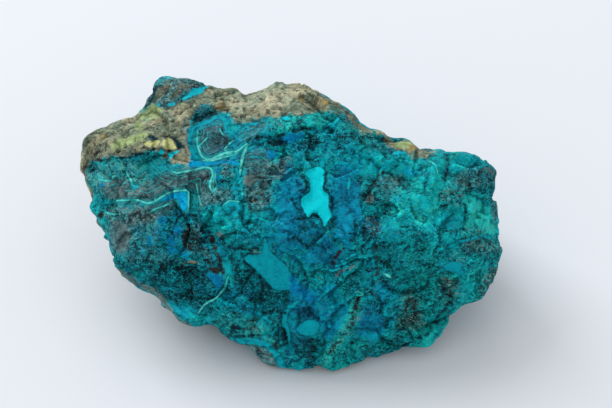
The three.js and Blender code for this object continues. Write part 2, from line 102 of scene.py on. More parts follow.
# Washes: soft areas of the showy face that are lighter, bluer (or, below 0, greener) and greyer than the
# rest, the width of their edges in pixels, their outlines, and whether the stone there is calm, that is
# smooth and little speckled
Wash = namedtuple("Wash", "light blue grey softness outline calm", defaults=[False])
WASHES = {
    "right field": Wash(0.08, -0.2, 0, 9, oval(416, 192, 32, 40)),
    "right field's core": Wash(0.12, -0.2, 0, 6, oval(418, 208, 20, 17)),
    "sparkle": Wash(0.12, 0.1, 0, 4, oval(418, 204, 17, 10), calm=True),
    "upper smooth": Wash(0.16, 0.2, 0, 4, oval(398, 168, 15, 6, 15), calm=True),
    "right basin": Wash(0.0, 0.1, 0, 4, oval(455, 219, 12, 14), calm=True),
    "crest": Wash(0.06, 0.0, 0, 4, oval(413, 178, 14, 8, 15), calm=True),
    "right rim": Wash(0.42, -0.2, 0, 5, oval(480, 216, 23, 11, 50), calm=True),
    "upper right": Wash(0.06, -0.3, 0, 6, oval(452, 164, 28, 11, -5), calm=True),
    "right flank": Wash(0.08, -0.4, 0, 8, [
        (440, 196), (462, 190), (480, 196), (502, 240), (502, 284), (480, 304), (462, 280), (470, 250),
        (452, 226)]),
    "right teal": Wash(0.14, -0.1, 0, 4, oval(471, 283, 7, 5)),
    "lower right": Wash(0.0, -0.5, 0, 10, [
        (400, 240), (440, 256), (462, 280), (484, 296), (452, 312), (436, 344), (400, 352), (380, 340),
        (410, 300)]),
    "shoulder": Wash(0.15, 0.1, 0, 6, oval(369, 165, 20, 13), calm=True),
    "left field": Wash(0.15, -0.1, 0, 6, oval(227, 219, 24, 16, -15), calm=True),
    "nodules": Wash(0.08, 0.5, 0, 7, [
        (186, 124), (226, 114), (270, 118), (262, 140), (246, 160), (200, 168), (184, 164)]),
    "green strip": Wash(0.14, -0.8, 0.1, 4, [
        (262, 120), (284, 116), (310, 113), (338, 113), (330, 124), (304, 128), (286, 132),
        (268, 132)]),
    "lower streak": Wash(0.18, -0.8, 0.1, 3, [
        (350, 304), (358, 291), (363, 294), (356, 322), (340, 344), (325, 366), (320, 362),
        (336, 334)]),
    "bottom": Wash(0.06, -0.5, 0, 7, oval(345, 354, 26, 14, -15)),
    "right foot rim": Wash(0.12, -0.4, 0, 2.5, [
        (402, 350), (424, 340), (440, 316), (456, 306), (454, 320), (440, 342), (420, 354)], calm=True),
    "left shoulder": Wash(0.08, -0.5, 0.35, 7, oval(118, 177, 32, 20, -5)),
    "left edge": Wash(0.12, -0.5, 0.1, 5, oval(101, 219, 10, 15)),
    "foot": Wash(0.02, -0.6, 0.2, 6, oval(246, 332, 32, 15, 25)),
    "left of the bottle": Wash(0.02, 0.9, 0, 8, oval(289, 200, 14, 34), calm=True),
    "left of the bottle, smooth": Wash(0.03, 0.2, 0, 4, oval(288, 208, 7, 20, -8), calm=True),
    "right of the bottle": Wash(-0.02, 0.8, 0, 8, oval(346, 204, 15, 40), calm=True),
    "right oval": Wash(0.12, 0.3, 0, 3, oval(344, 226, 8, 13), calm=True),
    "middle": Wash(-0.02, 0.5, 0, 9, oval(303, 243, 50, 20, 20), calm=True),
    "pocket": Wash(0.04, 0.6, 0, 8, oval(302, 314, 18, 31), calm=True),
    "lower middle": Wash(0.08, 0.6, 0, 6, oval(331, 313, 16, 29), calm=True),
    "flank blue": Wash(0.0, 0.5, 0, 7, oval(380, 308, 20, 27, 30)),
    "flank smooth": Wash(0.03, 0.4, 0, 5, oval(369, 328, 16, 15), calm=True),
    "left lobe": Wash(-0.08, 0.5, 0, 7, oval(178, 232, 25, 25)),
    "lobe's left": Wash(-0.02, 0.0, 0.35, 7, [
        (126, 214), (160, 218), (158, 244), (180, 262), (140, 264), (116, 254)]),
    "lower left": Wash(-0.12, 0.4, 0, 8, oval(238, 300, 24, 14, 10)),
    # Painted shade: the lower left lobe faces down, away from the light, and is darkened
    "dark lobe": Wash(-0.2, 0.0, 0, 7, [
        (108, 258), (150, 258), (196, 260), (214, 276), (226, 292), (214, 304), (196, 310), (176, 302),
        (150, 288), (122, 272)]),
    # Painted shade at the core of the down-facing lobe
    "lobe's core": Wash(-0.14, 0.1, 0, 6, oval(190, 282, 26, 17, 35)),
    # Painted shade in the hollow below the lance
    "hollow": Wash(-0.3, 0.1, 0, 4, [
        (232, 260), (246, 266), (272, 290), (288, 291), (289, 304), (278, 311), (258, 304),
        (240, 292)]),
    # Painted shade under the overhanging ledge
    "under the ledge": Wash(-0.12, 0.2, 0, 5, [
        (266, 140), (284, 137), (316, 128), (340, 130), (352, 142), (336, 156), (306, 150),
        (284, 150)]),
    "bottle's edge": Wash(-0.12, 0.3, 0, 5, oval(316, 200, 20, 36)),
    "under the bottle": Wash(-0.12, 0.1, 0, 4, oval(306, 243, 24, 6, 10)),
    "brown shoulder": Wash(-0.28, -0.2, 0.25, 5, oval(384, 190, 23, 13, -25)),
    "break": Wash(-0.16, 0.3, 0.2, 4, oval(370, 228, 10, 12)),
    "flank": Wash(-0.1, -0.2, 0, 9, [
        (372, 240), (400, 238), (440, 256), (452, 280), (440, 304), (420, 322), (396, 330), (380, 300),
        (376, 270)]),
    "flank brown": Wash(0.0, -0.2, 0.2, 7, oval(409, 312, 16, 22)),
    "flank dark": Wash(-0.02, 0.0, 0.15, 4, oval(412, 323, 13, 7)),
    "right slate": Wash(-0.2, -0.1, 0.4, 5, oval(478, 179, 25, 11, -5)),
    "right gap": Wash(-0.18, 0.0, 0.2, 3, oval(447, 169, 4, 13)),
    "right edge": Wash(-0.16, -0.1, 0.5, 3, oval(495, 207, 4, 17)),
    "right crumbs": Wash(-0.2, -0.2, 0.3, 5, oval(480, 247, 24, 9, 5)),
    "right lower": Wash(-0.18, -0.2, 0.25, 5, oval(446, 293, 11, 15)),
    "right lower edge": Wash(-0.26, 0.0, 0.35, 5, oval(488, 286, 7, 18, 20)),
    "ringed pocket": Wash(-0.26, 0.0, 0.1, 4, oval(304, 312, 9, 8)),
    "foot pocket": Wash(-0.34, 0.0, 0, 5, oval(306, 352, 13, 15)),
    "left pocket": Wash(-0.22, 0.0, 0, 4, oval(278, 331, 7, 18)),
    "lower edge": Wash(-0.14, -0.2, 0, 6, oval(374, 352, 30, 8, -25)),
    "seam": Wash(-0.22, 0.1, 0.5, 4, [
        (184, 228), (200, 222), (206, 240), (222, 264), (216, 270), (202, 254), (188, 250)]),
    "crown's right end": Wash(-0.2, -0.3, 0.2, 5, [
        (334, 106), (352, 114), (372, 134), (390, 146), (376, 152), (356, 142), (342, 126)]),
    "left bands": Wash(-0.05, 0.0, 0.75, 5, [
        (104, 184), (120, 179), (138, 187), (152, 179), (168, 171), (206, 167), (212, 176), (209, 188),
        (172, 189), (160, 194), (148, 200), (110, 198)]),
    "lower left bands": Wash(-0.05, 0.0, 0.6, 5, [
        (108, 206), (140, 206), (164, 200), (176, 200), (170, 214), (140, 222), (112, 222)]),
    "banded nodule": Wash(-0.2, 0.1, 0.6, 3, [
        (194, 131), (206, 124), (218, 120), (226, 123), (227, 133), (231, 141), (224, 149), (212, 156),
        (203, 154), (196, 144)]),
    "middle nodule": Wash(-0.08, 0.1, 0.4, 3, oval(254, 131, 17, 9, -30)),
    "dark nodule": Wash(-0.12, 0.1, 0.55, 4, [
        (246, 151), (258, 149), (272, 154), (268, 168), (258, 179), (248, 178), (244, 160)]),
    "left stripe": Wash(0.24, 0.0, 0, 3, oval(223, 257, 20, 5, 65), calm=True),
    "shoulder islet": Wash(0.24, -0.1, 0.1, 3, oval(391, 228, 10, 7), calm=True),
    "flank block": Wash(0.2, 0.2, 0, 3, oval(379, 291, 8, 8), calm=True),
    "blue lens": Wash(0.26, 0.3, 0, 3, oval(185, 311, 13, 6, 20), calm=True),
    # Painted shade in the pit under the horn
    "pit under the horn": Wash(-0.34, 0.2, 0.45, 3, [
        (191, 122), (193, 111), (204, 105), (214, 108), (224, 110), (214, 117), (203, 121),
        (196, 125)]),
    "dark blob": Wash(-0.3, -0.1, 0.4, 3, oval(192, 237, 8, 9)),
    "shelf's shade": Wash(-0.26, 0.0, 0.2, 2.5, [
        (100, 230), (106, 223), (114, 216), (126, 212), (150, 210), (150, 214), (128, 216), (116, 220),
        (107, 229)]),
    "wedge": Wash(0.14, -0.3, 0, 2, oval(214, 180, 3.5, 10)),
    "between the nodules": Wash(0.14, -0.2, 0, 3, oval(234, 132, 6, 9)),
    "seam side": Wash(-0.08, 0.0, 0.6, 5, [
        (198, 172), (210, 184), (232, 190), (228, 200), (212, 204), (199, 206)]),
    "crumbled pocket": Wash(-0.14, -0.1, 0.45, 5, [
        (244, 184), (262, 170), (284, 157), (292, 156), (284, 174), (271, 186), (270, 206),
        (252, 210)]),
    "lilac dome": Wash(0.02, 0.0, 0.6, 5, oval(119, 235, 11, 17), calm=True),
    "foot side": Wash(-0.02, 0.0, 0.7, 4, [
        (240, 344), (256, 346), (268, 351), (276, 360), (278, 370), (260, 370), (242, 354)]),
    "crown's top": Wash(0.24, 0.0, 0, 6, oval(264, 97, 38, 13, -8)),
    "left crown's edge": Wash(0.14, 0.0, 0, 5, oval(130, 119, 30, 8, -25)),
    "left crown's end": Wash(-0.16, 0.0, 0.2, 5, oval(86, 155, 9, 28)),
    "lobe's dent": Wash(-0.2, -0.1, 0, 3, oval(145, 239, 8, 7)),
    "right meadow": Wash(0.12, 0.0, 0, 6, oval(429, 226, 16, 17)),
    "ripples": Wash(0.12, 0.2, 0, 3, oval(348, 262, 13, 5, -25)),
    "flank dent": Wash(-0.16, 0.0, 0.1, 4, oval(367, 309, 10, 9)),
    "horn": Wash(-0.24, -0.7, 0.8, 4, oval(176, 90, 36, 13, -20)),
}

# Patches: closed outlines on the showy face
PATCHES = {
    "crust": {
        "crown": [
            (66, 182), (82, 178), (87, 171), (89, 162), (97, 158), (110, 156), (125, 154), (140, 152),
            (151, 149), (159, 151), (167, 156), (176, 163), (187, 165), (190, 156), (188, 140),
            (189, 126), (193, 113), (204, 104), (213, 105), (217, 111), (231, 112), (234, 120),
            (246, 121), (257, 118), (264, 115), (273, 117), (290, 114), (318, 112), (336, 111),
            (345, 113), (357, 128), (368, 134), (380, 120), (350, 60), (262, 84), (230, 84), (208, 86),
            (196, 95), (182, 102), (160, 108), (148, 120), (136, 108), (60, 110)],
        "right crown": [
            (374, 126), (383, 138), (389, 147), (397, 150), (406, 152), (413, 158), (422, 159),
            (430, 155), (436, 148), (400, 130)],
    },
    "olive": {
        "patch by the horn": [
            (138, 117), (144, 110), (150, 104), (157, 104), (161, 107), (160, 114), (154, 117),
            (147, 119)],
        "long streak": [
            (110, 148), (113, 142), (124, 137), (134, 134), (143, 130), (148, 134), (141, 140),
            (128, 144), (118, 148)],
        "upper fleck": oval(139, 125.5, 4, 4),
        "green bump": oval(405, 145, 9, 5),
    },
    "cream": {
        "left lozenge": [
            (144, 143.5), (149, 140.5), (159, 139.5), (159.5, 143), (156, 146), (150, 146)],
        "right lozenge": [
            (162, 143), (164, 138), (169, 137.5), (173, 140), (177, 147), (172, 148.5), (165, 147)],
    },
    "ash": {
        "grey knob": oval(249.5, 180, 6, 6),
        "grey spot": oval(219.5, 234, 3.5, 2.5),
        "shoulder blob": oval(370, 200, 2.5, 3.5),
    },
    "rubble": {
        "horn": oval(166, 90, 22, 11, -35),
        "crown edge": oval(229, 95, 15, 5),
        "brown grains": oval(227, 171, 7, 9),
        "crumbled pocket": oval(258, 191, 11, 17, 8),
        "crumbled rise": oval(280, 169, 15, 9, -50),
        "green strip": oval(279, 121, 5, 5),
        "under the long vein": oval(131, 205, 12, 4),
        "by the lance": oval(256, 252, 6, 4),
        "right edge upper": oval(476, 232, 13, 4, -5),
        "right edge middle": oval(482, 247, 17, 5, 8),
        "right edge lower": oval(458, 259, 9, 4, 20),
        "lower right edge": oval(489, 284, 7, 17, 20),
        "flank grains": oval(452, 288, 13, 6, 45),
        "flank streaks": oval(409, 303, 7, 11),
        "flank foot": oval(411, 322, 14, 8),
        "foot crumbs": oval(255, 326, 7, 6),
        "right shoulder": oval(453, 195, 12, 12, 20),
        "slate": oval(468, 184, 12, 5),
        "brown shoulder": oval(392, 183, 11, 8, -20),
        "break": oval(371, 226, 9, 11),
        "lower streak": oval(345, 332, 24, 3.5, -52),
    },
    "pool": {
        "horn wedge": [
            (183, 97.5), (191, 91), (197, 87), (206, 86), (207, 88), (199, 93.5), (190, 96.5),
            (184, 99)],
        "comma": oval(135, 185, 4, 3),
        "lance": [
            (264, 238), (262, 249), (259, 254), (244, 256), (248, 264), (258, 272), (266, 281),
            (272, 288), (288, 289), (292, 277), (288, 270), (281, 262), (270, 251), (268, 244)],
        "lens": [
            (296, 328), (301, 323), (308, 320), (317, 321), (318, 328), (315, 333), (306, 336),
            (299, 333)],
        "right flank": [
            (444, 268), (450, 262.5), (456, 264), (462, 265), (461, 270), (465, 279), (460, 277),
            (455, 273), (448, 272)],
        "mint islet": oval(232, 203.5, 8, 3),
        "spur": oval(322.5, 163, 2, 5),
    },
    "azure": {
        "left lobe": oval(171, 240, 3.5, 6),
        "left lobe upper": oval(162, 219, 4, 3.5),
        "left lobe middle": oval(178, 230, 5, 3.5, -30),
        "left lobe lower": oval(174, 250, 5, 3, 30),
        "left lobe foot": oval(184, 254, 5, 2.5, 20),
        "under the ledge": oval(292, 138, 11, 4.5, -12),
        "dark nodule": oval(271, 153.5, 4, 3.5),
        "wedge": [(205, 272), (216, 274), (223, 277), (217, 288), (211, 280)],
        "below the lance": [
            (290, 278), (300, 285), (312, 292), (316, 300), (309, 304), (302, 297), (292, 295)],
        "left edge": oval(101.5, 184, 4, 2.5, -60),
    },
    "ribbon": {
        "under the vein": [
            (187, 165), (190, 161), (198, 161), (206, 162), (221, 160), (236, 161), (238, 165),
            (226, 162.5), (206, 165), (194, 166)],
        "corner": [
            (161, 199), (170, 194), (178, 192), (186, 192), (186, 208), (182, 208), (178, 198),
            (168, 199)],
    },
    "window": {
        "bottle": [
            (308, 170), (313, 168), (319, 167), (324, 170), (324.5, 178), (323, 187), (324, 192),
            (328.5, 194.5), (329, 200), (328.5, 205), (331.5, 216), (328, 220), (326, 225),
            (323.5, 225.5), (321.5, 219), (319, 214.5), (315, 212.5), (311, 214.5), (308, 218),
            (303, 209), (301, 203), (302.5, 197), (309.5, 192.5), (310.5, 186), (310, 180),
            (306.5, 174)],
        "crown bit": oval(162, 150.5, 3, 3),
        "crown bar": [(168, 152), (174, 150), (180, 150), (174, 154), (171, 158)],
        "strip bit": oval(287, 118, 4, 2),
    },
    "rust": {
        "rust wedge": oval(216, 270, 9, 2.5, 15),
        "edge oval": oval(101, 213.5, 3, 2.5),
    },
    "black": {
        "lozenge shade": [(172, 136), (179, 139), (184, 144), (181, 149), (177, 148), (175, 142)],
        "crown fleck": oval(153.5, 136.5, 3.5, 2.5),
        # Painted shadow under the overhanging ledge
        "under the ledge": [(268, 142), (282, 139), (282, 144), (274, 147)],
        "foot hole": oval(234, 328, 5, 4),
        "left of the horn": [(144, 110), (150, 96), (153, 86), (157, 84), (156, 96), (150, 104)],
        "foot gap": oval(283, 337, 3, 7),
        "break dots": oval(364, 232, 2, 6),
        "break dot": oval(376, 218, 2, 2),
        "flank blob": oval(434, 325, 4, 3),
    },
    "ochre": {
        "crown spot": oval(222, 105, 4, 3.5),
        "middle crown spot": oval(301.5, 99.5, 2.5, 2.5),
        "yellow spot": oval(325.5, 102.5, 2.5, 2.5),
        "bump's edge": oval(412, 149, 3, 3),
        "left crown spot": oval(103.5, 134.5, 2.5, 2.5),
    },
}

# Strokes: a width in pixels and the points that the stroke runs through
STROKES = {
    "vein": {
        "long vein": (1.6, [
            (118, 199.5), (128, 199), (138, 199), (145, 202), (152, 201.5), (160, 197), (167, 193),
            (175, 190.5), (182, 189.5), (188, 190.5), (188.5, 197), (188, 209)]),
        "below the long vein": (0.8, [(152, 210), (158, 207), (164, 204.5), (169, 203)]),
        "under the bands": (1.4, [
            (174, 171), (178, 172.5), (184, 171), (192, 170), (199, 168), (205, 166.5), (210, 167.5),
            (212.5, 171), (212, 177), (210, 183), (211, 190)]),
        "wedge's right": (0.8, [(216, 171), (215, 178), (217, 185), (215, 190)]),
        "nodule ring": (1.7, [
            (198, 132), (197.5, 140), (199, 148), (202, 155), (206, 158.5), (212, 158), (219, 155),
            (226, 152.5), (233, 151.5), (239, 150), (243, 146), (247, 143)]),
        "under the ring": (0.8, [(206, 160.5), (214, 159), (222, 157), (230, 155.5), (238, 153)]),
        "down from the nodule": (2.4, [(247, 145), (245, 151), (242.5, 157), (241.5, 164), (240, 173)]),
        "left hook": (0.8, [(99, 178), (105, 179.5), (112, 179.5), (113.5, 175.5), (116, 175)]),
        "left comma": (0.9, [(127, 171), (128.5, 175), (131, 179.5), (132.5, 184.5), (138, 185.5)]),
        "seam": (0.7, [(196, 183), (197.5, 190), (199.5, 197), (201, 204)]),
        "lobe vein": (0.8, [
            (228, 276), (226, 281), (224.5, 287), (221, 292), (215, 298), (208, 301.5), (203, 305),
            (197, 314)]),
        "islet rim": (0.6, [(224, 204), (230, 200), (239, 201)]),
        "edge line": (0.6, [(106, 211), (112, 213), (119, 213)]),
        "nodule fork": (1.0, [(224, 150), (227, 146), (231, 142), (234, 140.5)]),
        "nodule fleck": (0.8, [(220, 128), (222, 132), (223.5, 134.5)]),
        "nodule scratch": (0.6, [(200.5, 144.5), (204, 141), (208, 136.5)]),
        "flank islet": (2.4, [(385, 275), (389, 277)]),
        "green ring": (0.7, [(428, 162), (434, 164), (437, 170), (437, 174)]),
    },
    "window": {
        "break foot": (1.2, [(320, 270), (326, 269), (333, 271), (340, 268)]),
        "break ripple": (1.2, [(336, 266), (345, 263), (352, 260), (360, 258)]),
        "break upper ripple": (1.0, [(340, 262), (346, 259), (352, 256), (358, 254)]),
        "break line": (0.8, [(356, 222), (359, 228), (357, 236)]),
        "sparkle": (1.2, [(413, 209), (420, 212), (427, 216)]),
        "upper sparkle": (1.0, [(404, 201), (412, 203), (418, 206)]),
    },
    "crust": {
        "horn's left": (5.0, [(156, 98), (163, 90), (168, 84)]),
        "horn's middle": (4.0, [(172, 96), (180, 90), (186, 84)]),
    },
    "pool": {
        "nodule outer ring": (2.8, [
            (227, 129), (227, 122), (225, 118.5), (218, 117.5), (211, 120.5), (203, 123.5),
            (196, 125.5), (192.5, 130), (191, 137), (190.5, 144), (193, 151), (197, 157)]),
        "nodule inner ring": (1.3, [
            (221, 130), (221, 123), (213, 123.5), (206, 126.5), (197, 130), (195.5, 140)]),
        "middle nodule left": (2.4, [(240, 133), (245, 128), (251, 124.5), (257, 122.5)]),
        "middle nodule inner": (1.2, [(242, 137), (246, 131.5), (252, 128)]),
        "middle nodule right": (2.0, [(268, 120), (267, 127), (262, 135), (254, 141)]),
        "middle nodule core": (1.2, [(263, 123), (261, 131), (257, 136)]),
        "nodule bridge": (2.4, [(226, 131), (232, 132), (236, 136)]),
        "from the fork": (1.8, [(249, 148), (256, 145), (262, 141.5), (267, 139)]),
        "dark nodule's brow": (1.2, [(247, 152), (254, 151), (260, 152.5), (266, 156), (271, 159)]),
        "dark nodule's arc": (1.0, [(249, 158), (254, 156), (260, 158)]),
        "grains' right": (2.6, [(236, 168), (238, 176), (235, 182), (233, 188)]),
        "right edge vein": (2.0, [(449, 248), (458, 244), (470, 240), (480, 237), (490, 239)]),
        "ledge branch": (2.4, [(328, 130), (334, 125), (338, 119)]),
        "upper bar": (3.0, [(336, 163.5), (342, 163), (348, 164)]),
        "upper smudge": (2.6, [(349, 179), (348, 189)]),
        "shoulder bar": (2.6, [(394, 154), (400, 153.5), (405, 154)]),
        "right spot": (2.6, [(457, 170.5), (460, 170.5)]),
        "break streak": (2.8, [(372, 240), (371, 248), (372, 258), (373, 267)]),
        "flank line": (2.0, [(326, 275), (327, 284), (326, 291), (318, 300)]),
        "rust inlay": (2.6, [(209, 246), (213, 256), (216, 265)]),
        "pocket rim": (4.2, [
            (297, 303), (290, 307), (285, 313), (283, 320), (285, 328), (287, 336), (288, 345),
            (292, 352)]),
        "lens ring": (1.8, [(201, 240), (205, 234), (209, 236), (208, 244), (203, 244)]),
        "foot band": (5.5, [(222, 337), (234, 340), (252, 341), (266, 345), (275, 355), (284, 369)]),
        "shoulder edge": (1.8, [(470, 166), (476, 162), (482, 160)]),
        "foot sliver": (2.0, [(271, 337), (273, 332)]),
        "foot rise": (3.0, [(257, 303), (257, 312), (264, 317), (270, 322)]),
        "horn dot": (4.0, [(170, 104), (173, 103)]),
        "horn dot left": (3.0, [(158, 104), (160, 103)]),
    },
    "azure": {
        "lobe streak": (2.4, [(149, 235), (150, 244)]),
        "lance's foot": (3.0, [(291, 276), (297, 290), (305, 300)]),
        "inner wedge": (2.2, [(218, 170), (218.5, 178), (219, 186)]),
    },
    "ash": {
        # Painted highlight: a pale grey strip along the lower left edge, where the edge turning under
        # catches the light
        "painted highlight on the lobe rim": (4.5, [
            (112, 267), (122, 272), (133, 280), (144, 286), (154, 291), (162, 299), (168, 308),
            (174, 317), (181, 323), (188, 326)]),
        "right edge line": (1.8, [(483, 170), (490, 170), (497, 176)]),
        "break line": (0.6, [(336, 276), (342, 270), (350, 268), (356, 264)]),
        "crown foot": (2.5, [(186, 118), (184, 130), (186, 144)]),
    },
    "rust": {
        "seam streak": (3.2, [(209, 232), (213, 242), (217, 253), (222, 264)]),
        "break wedge": (2.4, [(332, 264), (336, 257), (342, 249)]),
        "swirl": (2.2, [(187, 230), (183, 240), (188, 248), (200, 250), (207, 260), (212, 265)]),
        "shoulder line": (1.6, [(383, 172), (378, 178), (373, 186), (370, 192), (369, 200)]),
        "break side": (1.6, [(376, 248), (376.5, 262), (376, 275)]),
        "bottom vein": (1.8, [
            (322, 365), (326, 358), (333, 348), (338, 338), (345, 330), (352, 325), (352, 315),
            (355, 305), (360, 292)]),
        "block edge": (1.8, [(367, 290), (372, 295), (376, 300)]),
        "horn line": (2.0, [(96, 156), (97, 151), (102, 150)]),
        "foot line": (2.0, [(272, 343), (278, 350)]),
        "flank streak": (2.0, [(408, 296), (406, 308)]),
        "flank streak right": (2.0, [(414, 300), (413, 310)]),
    },
    "black": {
        # Painted shadow: dark lines under the overhanging ledge and under the crust's edge
        "ledge": (2.6, [(258, 138), (270, 137), (279, 136), (290, 131), (302, 129), (315, 127)]),
        "crown shade": (2.2, [(96, 159), (112, 158), (128, 156), (144, 152)]),
        "lozenge foot": (1.8, [(144, 146), (152, 148), (160, 147), (168, 150), (178, 150)]),
        "oval's brow": (1.6, [(218, 240), (224, 235), (234, 232), (246, 233)]),
        "oval's foot": (2.0, [(230, 247), (242, 249), (258, 248)]),
        "arc": (1.5, [(231, 219), (239, 217), (248, 221)]),
        "hollow line": (2.0, [(262, 311), (272, 311), (285, 312)]),
        "bottle notch": (2.0, [(310, 218), (314, 214.5), (319, 217), (321, 222)]),
        "foot line": (2.0, [(228, 337), (242, 336), (258, 335)]),
        "lance edge": (1.8, [(244, 262), (254, 271), (263, 281), (271, 289)]),
        "seam": (1.2, [(199, 210), (203, 220), (208, 230)]),
        "right foot rim": (1.4, [(402, 346), (416, 339), (428, 333), (436, 318), (446, 308)]),
        "right of the bottle": (2.4, [(326, 176), (325, 188), (331, 197), (332, 208)]),
        "left of the neck": (1.8, [(304, 178), (307, 186), (304, 192)]),
        "left of the bottle": (2.0, [(293, 200), (296, 206), (300, 213), (304, 218), (309, 219.5)]),
        "under the bottle": (1.8, [(294, 238), (302, 243), (312, 250)]),
        "right oval": (1.8, [(335, 218), (331, 224), (331, 232), (335, 241)]),
        "break gap": (1.8, [(354, 221), (354, 230), (352, 241)]),
        "break shade": (1.6, [(350, 251), (358, 249), (366, 243), (371, 237)]),
        "break ripples' shade": (1.2, [(342, 265.5), (350, 262), (358, 259.5)]),
        "lobe arc": (1.4, [(175, 224), (178, 217), (186, 213.5), (196, 215)]),
        "lobe inner arc": (1.2, [(180, 226), (184, 220), (191, 218.5), (198, 221)]),
        "shoulder arc": (2.0, [(394, 158), (397.5, 162), (397, 167)]),
        "right gap": (2.4, [(447, 157), (449, 165), (447, 173), (445, 179)]),
        "right rim": (1.8, [(465, 205), (466, 215), (464, 225)]),
    },
    "ochre": {
        "lobe grains": (0.4, [(185, 262), (192, 261), (199, 263.5)]),
    },
}

# Banding: the lines that the bands run along, where they show and how strongly
BAND_GUIDES = [
    *[STROKES["vein"][name][1] for name in ("long vein", "under the bands", "nodule ring")],
    *[STROKES["pool"][name][1]
      for name in ("nodule outer ring", "middle nodule right", "dark nodule's brow")],
    [(148, 146), (153, 154), (158, 162), (166, 169)],
]
BAND_SPACING = 3.6  # pixels
BANDED = [
    *[(1.0, WASHES[name].outline) for name in ("nodules", "left bands", "dark nodule")],
    (0.9, [
        (138, 150), (162, 157), (186, 168), (212, 172), (208, 200), (196, 214), (150, 213), (112, 206),
        (118, 188), (140, 180), (136, 164)]),
]
BAND_EDGE = (-3, 5)  # pixels over which the bands fade in at the edges of these areas
BAND_CALM = 0.85  # how calm the stone is where it is fully banded
BAND_REACH = 60.0  # pixels that the bands can be from their guide line
BAND_FRAY = 0.16  # how far the fraying and the mottling shift the bands
BAND_MOTTLE = 1.2
FINE_PACE = 1.6  # the finer bands: how many for each coarse one, and how strong
FINE_SHARE = 0.7
TAPER = 0.45  # a vein's width at its ends, as a share of the middle's
FAR = 14.0  # pixels: how far off a mark is still told apart
VEIN_LEEWAY = 1.5  # pixels that a vein can be wider than its rough depth says
WANDERS = [(3.2, 0.7), (0.9, 0.4)]  # millimetres and pixels: how drawn edges wander from the drawn line

# Marks of the hidden sides, grown from fields of noise with features of a size in millimetres
Field = namedtuple("Field", "size seed octaves", defaults=[4])
CRUST_FIELD = Field(21, 3.1)
STAIN_FIELD = Field(5, 37.3)
POOL_FIELD = Field(11, 51.1)
CRACK_FIELD = Field(13, 23.9)
UNVEINED_FIELD = Field(16, 29.4)
SHEET_FIELD = Field(12, 51.1, 3)
TONE_FIELD = Field(9, 11.7)
HUE_FIELD = Field(14, 63.2)
DULL_FIELD = Field(8, 83.9)
CALM_FIELD = Field(10, 91.3)
Growth = namedtuple("Growth", "slope threshold")  # pixels for each unit of the field above its threshold
GROWN_CRUST = Growth(34, 0.04)
GROWN_OLIVE = Growth(34, 0.58)
OLIVE_STAIN = Growth(20, 0.3)
GROWN_POOL = Growth(24, 0.62)
GROWN_RUBBLE = Growth(26, 0.24)
CRACK_SLOPE = 34
GROWN_CRACK = 0.9  # half a grown crack's width in pixels
UNVEINED = (0.1, -0.1)
GROWN_LIGHT = 0.25
GROWN_SHADE = 0.05
GROWN_BLUE = 0.9
GROWN_GREY = 1.2
GREYEST = 0.7
GROWN_CALM = (-0.1, 0.3)
GROWN_VEIN = 0.7  # half a grown vein's width in pixels
VEIN_SLOPE = np.array((0.6, 0.5, 0.62))  # across the sheets that the grown veins lie in
VEIN_GAP = 13.0  # millimetres between them
VEIN_WANDER = 0.35  # how far they wander, as a share of the gap
CRUST_TREND = 0.01  # how much rarer the grown crust becomes with each millimetre to the right

# The stone's texture. An edge gives the values between which something fades in, and often its strength.
NOISES = {  # sizes of the features in millimetres
    "cloud": dict(size=6.0, detail=3),
    "tint": dict(size=4.0, detail=4),
    "island": dict(size=2.6, detail=4, distortion=0.9),
    "mottle": dict(size=1.8, detail=6, roughness=0.68, distortion=1.2),
    "grain": dict(size=0.42, detail=3, roughness=0.7, distortion=1.0, stretch=1.9),
    "speck": dict(size=0.24, detail=2, roughness=0.7),
}
FRAY = dict(size=1.1, detail=4, roughness=0.6)
FRAY_SPREAD = 4.0
FLECKS = dict(size=0.5, detail=3, roughness=0.65, distortion=0.8, stretch=1.7)
FRAGMENTS = [("piece", 2.0, 2.4), ("crumb", 0.6, 0.8)]  # their sizes, and how far their edges wander
UNREST = (-0.75, 1.1)  # how speckled the stone is: the change with calm, and the most
ISLAND_EDGE = (0.4, 0.6)
SPECKLED_SHADE = -0.14
SPECKLED_CONTRAST = (0.9, 0.6)  # the change from the islands to the speckled stone, and the islands' own
MEAN_TONE = 0.6
TONE_PARTS = {"mottle": 0.9, "cloud": 0.6}
FINE_PARTS = {"grain": 1.25, "piece": 0.22, "crumb": 0.36}
SPECK_PART = 0.8
HUE_PARTS = {"tint": 2.4, "piece_tint": 0.6, "crumb_tint": 0.6}
BLUE_EDGE = (0.05, 0.8)
GREEN_EDGE = (-0.05, -0.8)
GREY_EDGE = (0.05, 0.9)
GREY_FRAY = 0.2
PIGMENT_STOPS = (0.34, 0.5, 0.66)
GRAIN_SHARE = 0.45  # of a pigment's tone; the rest is mottling
CRUST_LIGHT = 0.4  # how much the washes lighten the crust
THREADS = [  # the noise that each thread follows, the value where it runs, and its colour
    ("mottle", 0.53, (40, 180, 182)), ("mottle", 0.42, (0, 140, 150)), ("island", 0.5, (2, 30, 40)),
    ("mottle", 0.36, (2, 34, 44)),
]
THREAD_EDGE = (0.02, 0.004, 0.7)
THREADS_SHOWN = (0.4, 0.56)
BANDS_SHOWN = (0.36, 0.54)
BAND_LINES = [((0.3, 1.3, 0.85), (18, 162, 164)), ((-0.4, -1.4, 0.65), (34, 44, 50))]
Fleck = namedtuple("Fleck", "edge colour")
DARK_FLECK = Fleck((0.42, 0.35, 0.75), (6, 18, 22))
RUSTY_FLECK = Fleck((0.64, 0.7, 0.7), (92, 68, 56))
PALE_FLECK = Fleck((0.55, 0.63, 0.75), (150, 142, 118))
BRIGHT_FLECK = Fleck((0.58, 0.66, 0.65), (0, 176, 180))
CRUMBLY_FRAY = 4.0
CRUMBLY_EDGE = (-5, 5)
CRUMBLY_DARK = -0.045  # how much more dark and rusty flecks crumbly stone has
